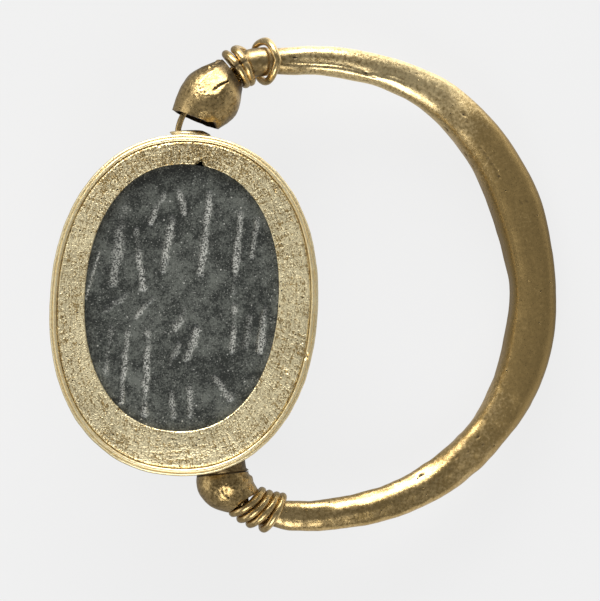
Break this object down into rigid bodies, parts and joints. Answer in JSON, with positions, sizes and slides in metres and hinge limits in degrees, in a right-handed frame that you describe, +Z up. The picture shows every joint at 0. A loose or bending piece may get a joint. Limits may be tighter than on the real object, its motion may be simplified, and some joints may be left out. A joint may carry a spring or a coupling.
{
  "type": "swivel finger ring",
  "caption": "Gold finger ring whose hammered hoop carries a carved stone scarab that turns end over end in a bordered bezel.",
  "frame": {"origin": "on the table under the middle of the swivel axis, in the flat resting spot of the scarab's back", "axes": "+Z up out of the scarab's inscribed base, +Y along the swivel axis towards the bulbous upper cap, +X towards the hoop's crown"},
  "size_m": [0.0286, 0.0279, 0.0073],
  "materials": {
    "hoop_gold": "hammered, worn",
    "cap_gold": "dented, worn",
    "wire_gold": "worn wire",
    "bezel_gold": "brushed by wear",
    "scarab_stone": "dull polish"
  },
  "bodies": {
    "ring": {"hoop": "hoop_gold", "upper_cap": "cap_gold", "lower_cap": "cap_gold", "swivel_wire": "wire_gold"},
    "scarab": {"scarab": "scarab_stone", "border_plate": "bezel_gold", "rim_wire": "bezel_gold", "bezel_band": "bezel_gold", "upper_collar": "bezel_gold", "lower_collar": "bezel_gold"}
  },
  "joints": [
    {"name": "scarab_swivel", "type": "hinge", "parent": "ring", "child": "scarab", "pos_m": [0, 0, 0.0044], "axis": [0, 1, 0], "continuous": true}
  ]
}
